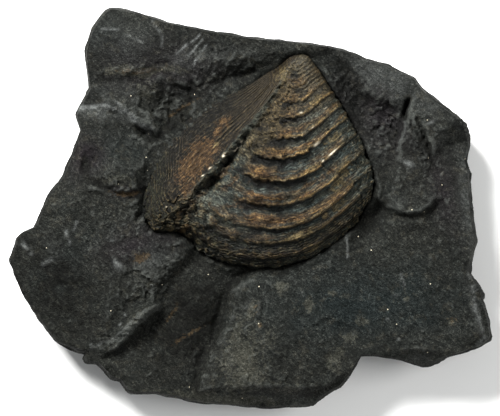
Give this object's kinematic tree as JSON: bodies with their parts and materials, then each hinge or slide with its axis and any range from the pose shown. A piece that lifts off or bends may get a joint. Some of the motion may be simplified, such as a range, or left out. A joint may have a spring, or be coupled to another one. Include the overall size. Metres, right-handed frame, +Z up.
{
  "type": "fossil bivalve",
  "caption": "Loose slab of dark grey shale with a ribbed bronze-brown bivalve shell standing proud of its upper face; it lies on a flat underside as a specimen or ornament.",
  "frame": {"origin": "on the flat underside, below the middle of the slab's bounding box", "axes": "+Z up out of the slab through the shell, +X along the slab's length towards the shell's front edge, +Y from the shell's lower margin towards its beak"},
  "size_m": [0.1116, 0.0928, 0.0257],
  "materials": {
    "shale": "dark grey split shale, matt to slightly greasy, with paler scuffs, faint rust and specks of pyrite",
    "fossil_shell": "mineralised shell, bronze-brown and gold on the rib crests, grey-blue between them, semi-gloss on worn crests"
  },
  "bodies": {
    "root": {"matrix": "shale", "valve": "fossil_shell"}
  },
  "joints": []
}
